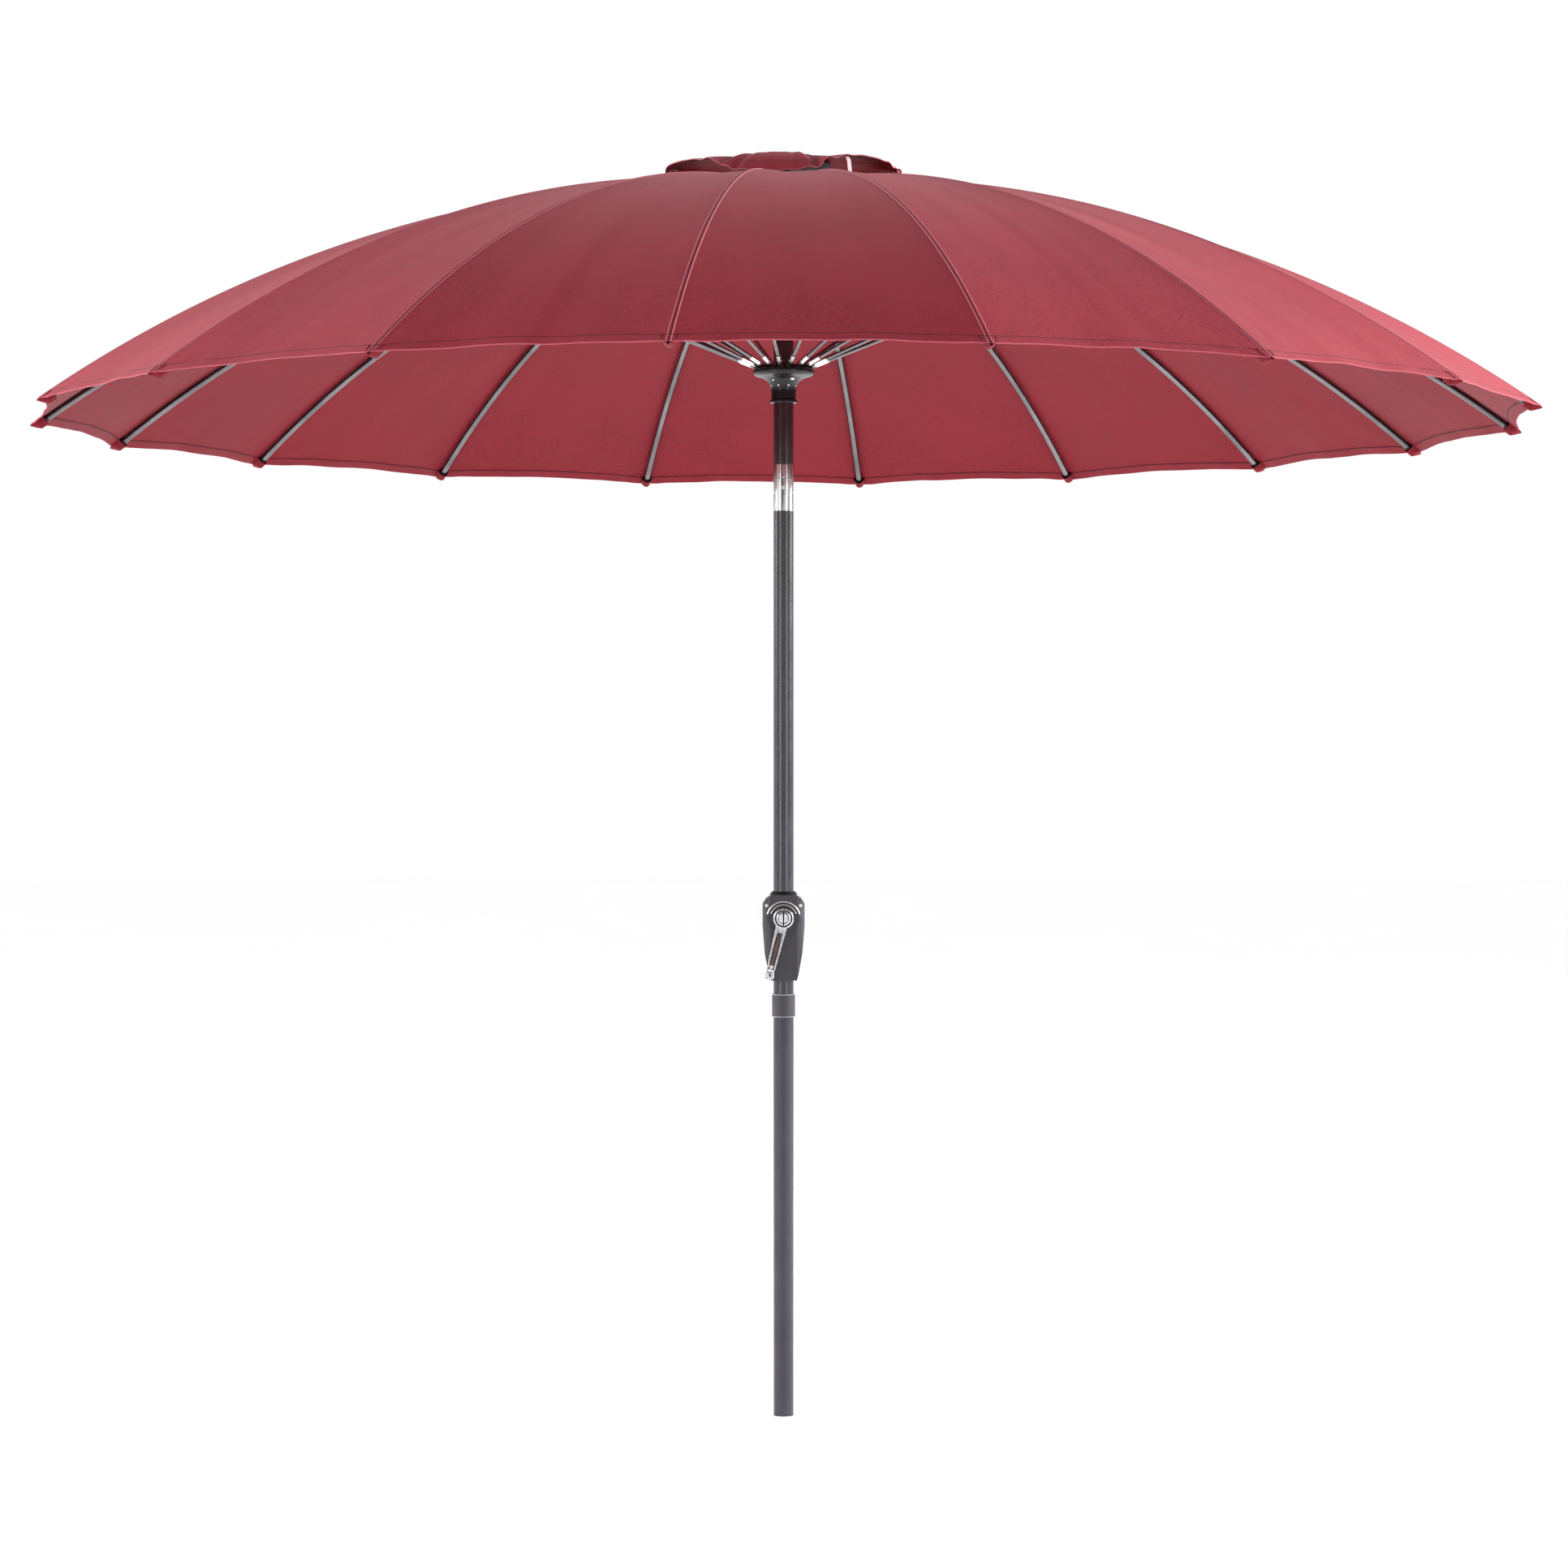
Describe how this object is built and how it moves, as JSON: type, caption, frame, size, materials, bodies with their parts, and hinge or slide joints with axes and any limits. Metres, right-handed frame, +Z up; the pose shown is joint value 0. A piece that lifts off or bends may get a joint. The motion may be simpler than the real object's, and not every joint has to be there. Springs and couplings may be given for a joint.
{
  "type": "patio umbrella",
  "caption": "Round crank-lift patio umbrella with a vented scalloped canopy, tilting two-piece pole and hinged ribs on a sliding runner; it stands in a separate base.",
  "frame": {"origin": "centre of the pole's flat bottom end", "axes": "+Z up the pole; the crank faces -Y; the canopy tilts towards +X"},
  "size_m": [2.7964, 2.7786, 2.3631],
  "materials": {
    "lower_pole_paint": "satin dark grey paint",
    "pole_paint": "smooth dark anthracite paint, semi-gloss",
    "collar_plastic": "moulded dark grey plastic",
    "housing_plastic": "fine-textured dark grey plastic",
    "zinc": "zinc plated",
    "arm_steel": "bright plated",
    "grip_plastic": "dark red-brown plastic",
    "knuckle_steel": "polished",
    "hub_plastic": "black moulded nylon",
    "pulley_plastic": "pale acetal",
    "rib_rod": "black glass-fibre rod, glossy",
    "stretcher_rod": "black glass-fibre rod, glossy",
    "canopy_fabric": "plain-weave polyester, wine red"
  },
  "bodies": {
    "base_pole": {"lower_pole": "lower_pole_paint", "coupling_collar": "collar_plastic", "main_pole": "pole_paint", "crank_housing_front": "housing_plastic", "crank_housing_back": "housing_plastic", "housing_screws": "zinc", "brake_spring": "zinc", "tilt_yoke": "knuckle_steel", "tilt_pin": "knuckle_steel"},
    "tilt_button": {"tilt_button": "knuckle_steel"},
    "crank": {"crank_shaft": "zinc", "crank_arm": "arm_steel", "crank_screw": "arm_steel"},
    "grip_fold": {"grip_hinge": "zinc"},
    "grip": {"crank_grip": "grip_plastic"},
    "top": {"tilt_socket": "knuckle_steel", "upper_pole": "pole_paint", "top_hub": "hub_plastic", "hub_pins": "zinc", "vent_plate": "hub_plastic", "canopy": "canopy_fabric", "vent_cap": "canopy_fabric"},
    "pulley": {"top_pulley": "pulley_plastic"},
    "runner": {"runner": "hub_plastic"},
    "rib_01": {"rib_01": "rib_rod"},
    "rib_02": {"rib_02": "rib_rod"},
    "rib_03": {"rib_03": "rib_rod"},
    "rib_04": {"rib_04": "rib_rod"},
    "rib_05": {"rib_05": "rib_rod"},
    "rib_06": {"rib_06": "rib_rod"},
    "rib_07": {"rib_07": "rib_rod"},
    "rib_08": {"rib_08": "rib_rod"},
    "rib_09": {"rib_09": "rib_rod"},
    "rib_10": {"rib_10": "rib_rod"},
    "rib_11": {"rib_11": "rib_rod"},
    "rib_12": {"rib_12": "rib_rod"},
    "rib_13": {"rib_13": "rib_rod"},
    "rib_14": {"rib_14": "rib_rod"},
    "rib_15": {"rib_15": "rib_rod"},
    "rib_16": {"rib_16": "rib_rod"},
    "rib_17": {"rib_17": "rib_rod"},
    "rib_18": {"rib_18": "rib_rod"},
    "stretcher_01": {"stretcher_01": "stretcher_rod"},
    "stretcher_02": {"stretcher_02": "stretcher_rod"},
    "stretcher_03": {"stretcher_03": "stretcher_rod"},
    "stretcher_04": {"stretcher_04": "stretcher_rod"},
    "stretcher_05": {"stretcher_05": "stretcher_rod"},
    "stretcher_06": {"stretcher_06": "stretcher_rod"},
    "stretcher_07": {"stretcher_07": "stretcher_rod"},
    "stretcher_08": {"stretcher_08": "stretcher_rod"},
    "stretcher_09": {"stretcher_09": "stretcher_rod"},
    "stretcher_10": {"stretcher_10": "stretcher_rod"},
    "stretcher_11": {"stretcher_11": "stretcher_rod"},
    "stretcher_12": {"stretcher_12": "stretcher_rod"},
    "stretcher_13": {"stretcher_13": "stretcher_rod"},
    "stretcher_14": {"stretcher_14": "stretcher_rod"},
    "stretcher_15": {"stretcher_15": "stretcher_rod"},
    "stretcher_16": {"stretcher_16": "stretcher_rod"},
    "stretcher_17": {"stretcher_17": "stretcher_rod"},
    "stretcher_18": {"stretcher_18": "stretcher_rod"}
  },
  "joints": [
    {"name": "runner_slide", "type": "slide", "parent": "top", "child": "runner", "axis": [0, 0, 1], "range_m": [-0.86534, 0], "deforming": ["canopy", "vent_cap"]},
    {"name": "tilt", "type": "hinge", "parent": "base_pole", "child": "top", "pos_m": [0, 0, 1.742], "axis": [0, 1, 0], "range_deg": [0, 35]},
    {"name": "tilt_button_press", "type": "slide", "parent": "base_pole", "child": "tilt_button", "axis": [1, 0, 0], "range_m": [0, 0.003], "stiffness_N_per_m": 400, "springref_m": -0.002},
    {"name": "crank_turn", "type": "hinge", "parent": "base_pole", "child": "crank", "pos_m": [0, 0, 0.936], "axis": [0, 1, 0], "continuous": true},
    {"name": "grip_fold", "type": "hinge", "parent": "crank", "child": "grip_fold", "pos_m": [-0.02395, -0.0523, 0.83994], "axis": [0.9703, 0, -0.2419], "range_deg": [0, 90]},
    {"name": "grip_spin", "type": "hinge", "parent": "grip_fold", "child": "grip", "pos_m": [-0.02395, -0.0523, 0.83994], "axis": [0.2419, 0, 0.9703], "continuous": true},
    {"name": "pulley_turn", "type": "hinge", "parent": "top", "child": "pulley", "pos_m": [0.009, 0, 2.27187], "axis": [0, 1, 0], "continuous": true},
    {"name": "rib_01_fold", "type": "hinge", "parent": "top", "child": "rib_01", "pos_m": [0.04494, 0.00228, 2.30287], "axis": [-0.0506, 0.9987, 0], "range_deg": [0, 70]},
    {"name": "stretcher_01_fold", "type": "hinge", "parent": "rib_01", "child": "stretcher_01", "pos_m": [0.6272, 0.03177, 2.20215], "axis": [-0.0506, 0.9987, 0], "range_deg": [-128.61, 0]},
    {"name": "rib_02_fold", "type": "hinge", "parent": "top", "child": "rib_02", "pos_m": [0.04145, 0.01751, 2.30287], "axis": [-0.3891, 0.9212, 0], "range_deg": [0, 70]},
    {"name": "stretcher_02_fold", "type": "hinge", "parent": "rib_02", "child": "stretcher_02", "pos_m": [0.5785, 0.24437, 2.20215], "axis": [-0.3891, 0.9212, 0], "range_deg": [-128.61, 0]},
    {"name": "rib_03_fold", "type": "hinge", "parent": "top", "child": "rib_03", "pos_m": [0.03296, 0.03063, 2.30287], "axis": [-0.6807, 0.7325, 0], "range_deg": [0, 70]},
    {"name": "stretcher_03_fold", "type": "hinge", "parent": "rib_03", "child": "stretcher_03", "pos_m": [0.46004, 0.42749, 2.20215], "axis": [-0.6807, 0.7325, 0], "range_deg": [-128.61, 0]},
    {"name": "rib_04_fold", "type": "hinge", "parent": "top", "child": "rib_04", "pos_m": [0.0205, 0.04006, 2.30287], "axis": [-0.8902, 0.4555, 0], "range_deg": [0, 70]},
    {"name": "stretcher_04_fold", "type": "hinge", "parent": "rib_04", "child": "stretcher_04", "pos_m": [0.28608, 0.55905, 2.20215], "axis": [-0.8902, 0.4555, 0], "range_deg": [-128.61, 0]},
    {"name": "rib_05_fold", "type": "hinge", "parent": "top", "child": "rib_05", "pos_m": [0.00556, 0.04466, 2.30287], "axis": [-0.9923, 0.1236, 0], "range_deg": [0, 70]},
    {"name": "stretcher_05_fold", "type": "hinge", "parent": "rib_05", "child": "stretcher_05", "pos_m": [0.07762, 0.62318, 2.20215], "axis": [-0.9923, 0.1236, 0], "range_deg": [-128.61, 0]},
    {"name": "rib_06_fold", "type": "hinge", "parent": "top", "child": "rib_06", "pos_m": [-0.01005, 0.04386, 2.30287], "axis": [-0.9748, -0.2233, 0], "range_deg": [0, 70]},
    {"name": "stretcher_06_fold", "type": "hinge", "parent": "rib_06", "child": "stretcher_06", "pos_m": [-0.1402, 0.61215, 2.20215], "axis": [-0.9748, -0.2233, 0], "range_deg": [-128.61, 0]},
    {"name": "rib_07_fold", "type": "hinge", "parent": "top", "child": "rib_07", "pos_m": [-0.02444, 0.03778, 2.30287], "axis": [-0.8396, -0.5432, 0], "range_deg": [0, 70]},
    {"name": "stretcher_07_fold", "type": "hinge", "parent": "rib_07", "child": "stretcher_07", "pos_m": [-0.34111, 0.52728, 2.20215], "axis": [-0.8396, -0.5432, 0], "range_deg": [-128.61, 0]},
    {"name": "rib_08_fold", "type": "hinge", "parent": "top", "child": "rib_08", "pos_m": [-0.03589, 0.02714, 2.30287], "axis": [-0.6032, -0.7976, 0], "range_deg": [0, 70]},
    {"name": "stretcher_08_fold", "type": "hinge", "parent": "rib_08", "child": "stretcher_08", "pos_m": [-0.50088, 0.37882, 2.20215], "axis": [-0.6032, -0.7976, 0], "range_deg": [-128.61, 0]},
    {"name": "rib_09_fold", "type": "hinge", "parent": "top", "child": "rib_09", "pos_m": [-0.04301, 0.01323, 2.30287], "axis": [-0.294, -0.9558, 0], "range_deg": [0, 70]},
    {"name": "stretcher_09_fold", "type": "hinge", "parent": "rib_09", "child": "stretcher_09", "pos_m": [-0.60024, 0.18466, 2.20215], "axis": [-0.294, -0.9558, 0], "range_deg": [-128.61, 0]},
    {"name": "rib_10_fold", "type": "hinge", "parent": "top", "child": "rib_10", "pos_m": [-0.04494, -0.00228, 2.30287], "axis": [0.0506, -0.9987, 0], "range_deg": [0, 70]},
    {"name": "stretcher_10_fold", "type": "hinge", "parent": "rib_10", "child": "stretcher_10", "pos_m": [-0.6272, -0.03177, 2.20215], "axis": [0.0506, -0.9987, 0], "range_deg": [-128.61, 0]},
    {"name": "rib_11_fold", "type": "hinge", "parent": "top", "child": "rib_11", "pos_m": [-0.04145, -0.01751, 2.30287], "axis": [0.3891, -0.9212, 0], "range_deg": [0, 70]},
    {"name": "stretcher_11_fold", "type": "hinge", "parent": "rib_11", "child": "stretcher_11", "pos_m": [-0.5785, -0.24437, 2.20215], "axis": [0.3891, -0.9212, 0], "range_deg": [-128.61, 0]},
    {"name": "rib_12_fold", "type": "hinge", "parent": "top", "child": "rib_12", "pos_m": [-0.03296, -0.03063, 2.30287], "axis": [0.6807, -0.7325, 0], "range_deg": [0, 70]},
    {"name": "stretcher_12_fold", "type": "hinge", "parent": "rib_12", "child": "stretcher_12", "pos_m": [-0.46004, -0.42749, 2.20215], "axis": [0.6807, -0.7325, 0], "range_deg": [-128.61, 0]},
    {"name": "rib_13_fold", "type": "hinge", "parent": "top", "child": "rib_13", "pos_m": [-0.0205, -0.04006, 2.30287], "axis": [0.8902, -0.4555, 0], "range_deg": [0, 70]},
    {"name": "stretcher_13_fold", "type": "hinge", "parent": "rib_13", "child": "stretcher_13", "pos_m": [-0.28608, -0.55905, 2.20215], "axis": [0.8902, -0.4555, 0], "range_deg": [-128.61, 0]},
    {"name": "rib_14_fold", "type": "hinge", "parent": "top", "child": "rib_14", "pos_m": [-0.00556, -0.04466, 2.30287], "axis": [0.9923, -0.1236, 0], "range_deg": [0, 70]},
    {"name": "stretcher_14_fold", "type": "hinge", "parent": "rib_14", "child": "stretcher_14", "pos_m": [-0.07762, -0.62318, 2.20215], "axis": [0.9923, -0.1236, 0], "range_deg": [-128.61, 0]},
    {"name": "rib_15_fold", "type": "hinge", "parent": "top", "child": "rib_15", "pos_m": [0.01005, -0.04386, 2.30287], "axis": [0.9748, 0.2233, 0], "range_deg": [0, 70]},
    {"name": "stretcher_15_fold", "type": "hinge", "parent": "rib_15", "child": "stretcher_15", "pos_m": [0.1402, -0.61215, 2.20215], "axis": [0.9748, 0.2233, 0], "range_deg": [-128.61, 0]},
    {"name": "rib_16_fold", "type": "hinge", "parent": "top", "child": "rib_16", "pos_m": [0.02444, -0.03778, 2.30287], "axis": [0.8396, 0.5432, 0], "range_deg": [0, 70]},
    {"name": "stretcher_16_fold", "type": "hinge", "parent": "rib_16", "child": "stretcher_16", "pos_m": [0.34111, -0.52728, 2.20215], "axis": [0.8396, 0.5432, 0], "range_deg": [-128.61, 0]},
    {"name": "rib_17_fold", "type": "hinge", "parent": "top", "child": "rib_17", "pos_m": [0.03589, -0.02714, 2.30287], "axis": [0.6032, 0.7976, 0], "range_deg": [0, 70]},
    {"name": "stretcher_17_fold", "type": "hinge", "parent": "rib_17", "child": "stretcher_17", "pos_m": [0.50088, -0.37882, 2.20215], "axis": [0.6032, 0.7976, 0], "range_deg": [-128.61, 0]},
    {"name": "rib_18_fold", "type": "hinge", "parent": "top", "child": "rib_18", "pos_m": [0.04301, -0.01323, 2.30287], "axis": [0.294, 0.9558, 0], "range_deg": [0, 70]},
    {"name": "stretcher_18_fold", "type": "hinge", "parent": "rib_18", "child": "stretcher_18", "pos_m": [0.60024, -0.18466, 2.20215], "axis": [0.294, 0.9558, 0], "range_deg": [-128.61, 0]}
  ],
  "couplings": [
    {"joint": "crank_turn", "follows": "runner_slide", "rad_per_m": 101.65},
    {"joint": "pulley_turn", "follows": "runner_slide", "rad_per_m": 80},
    {"joint": "rib_01_fold", "follows": "runner_slide", "rad_per_m": -1.4118},
    {"joint": "stretcher_01_fold", "follows": "runner_slide", "rad_per_m": 2.5939},
    {"joint": "rib_02_fold", "follows": "runner_slide", "rad_per_m": -1.4118},
    {"joint": "stretcher_02_fold", "follows": "runner_slide", "rad_per_m": 2.5939},
    {"joint": "rib_03_fold", "follows": "runner_slide", "rad_per_m": -1.4118},
    {"joint": "stretcher_03_fold", "follows": "runner_slide", "rad_per_m": 2.5939},
    {"joint": "rib_04_fold", "follows": "runner_slide", "rad_per_m": -1.4118},
    {"joint": "stretcher_04_fold", "follows": "runner_slide", "rad_per_m": 2.5939},
    {"joint": "rib_05_fold", "follows": "runner_slide", "rad_per_m": -1.4118},
    {"joint": "stretcher_05_fold", "follows": "runner_slide", "rad_per_m": 2.5939},
    {"joint": "rib_06_fold", "follows": "runner_slide", "rad_per_m": -1.4118},
    {"joint": "stretcher_06_fold", "follows": "runner_slide", "rad_per_m": 2.5939},
    {"joint": "rib_07_fold", "follows": "runner_slide", "rad_per_m": -1.4118},
    {"joint": "stretcher_07_fold", "follows": "runner_slide", "rad_per_m": 2.5939},
    {"joint": "rib_08_fold", "follows": "runner_slide", "rad_per_m": -1.4118},
    {"joint": "stretcher_08_fold", "follows": "runner_slide", "rad_per_m": 2.5939},
    {"joint": "rib_09_fold", "follows": "runner_slide", "rad_per_m": -1.4118},
    {"joint": "stretcher_09_fold", "follows": "runner_slide", "rad_per_m": 2.5939},
    {"joint": "rib_10_fold", "follows": "runner_slide", "rad_per_m": -1.4118},
    {"joint": "stretcher_10_fold", "follows": "runner_slide", "rad_per_m": 2.5939},
    {"joint": "rib_11_fold", "follows": "runner_slide", "rad_per_m": -1.4118},
    {"joint": "stretcher_11_fold", "follows": "runner_slide", "rad_per_m": 2.5939},
    {"joint": "rib_12_fold", "follows": "runner_slide", "rad_per_m": -1.4118},
    {"joint": "stretcher_12_fold", "follows": "runner_slide", "rad_per_m": 2.5939},
    {"joint": "rib_13_fold", "follows": "runner_slide", "rad_per_m": -1.4118},
    {"joint": "stretcher_13_fold", "follows": "runner_slide", "rad_per_m": 2.5939},
    {"joint": "rib_14_fold", "follows": "runner_slide", "rad_per_m": -1.4118},
    {"joint": "stretcher_14_fold", "follows": "runner_slide", "rad_per_m": 2.5939},
    {"joint": "rib_15_fold", "follows": "runner_slide", "rad_per_m": -1.4118},
    {"joint": "stretcher_15_fold", "follows": "runner_slide", "rad_per_m": 2.5939},
    {"joint": "rib_16_fold", "follows": "runner_slide", "rad_per_m": -1.4118},
    {"joint": "stretcher_16_fold", "follows": "runner_slide", "rad_per_m": 2.5939},
    {"joint": "rib_17_fold", "follows": "runner_slide", "rad_per_m": -1.4118},
    {"joint": "stretcher_17_fold", "follows": "runner_slide", "rad_per_m": 2.5939},
    {"joint": "rib_18_fold", "follows": "runner_slide", "rad_per_m": -1.4118},
    {"joint": "stretcher_18_fold", "follows": "runner_slide", "rad_per_m": 2.5939}
  ]
}
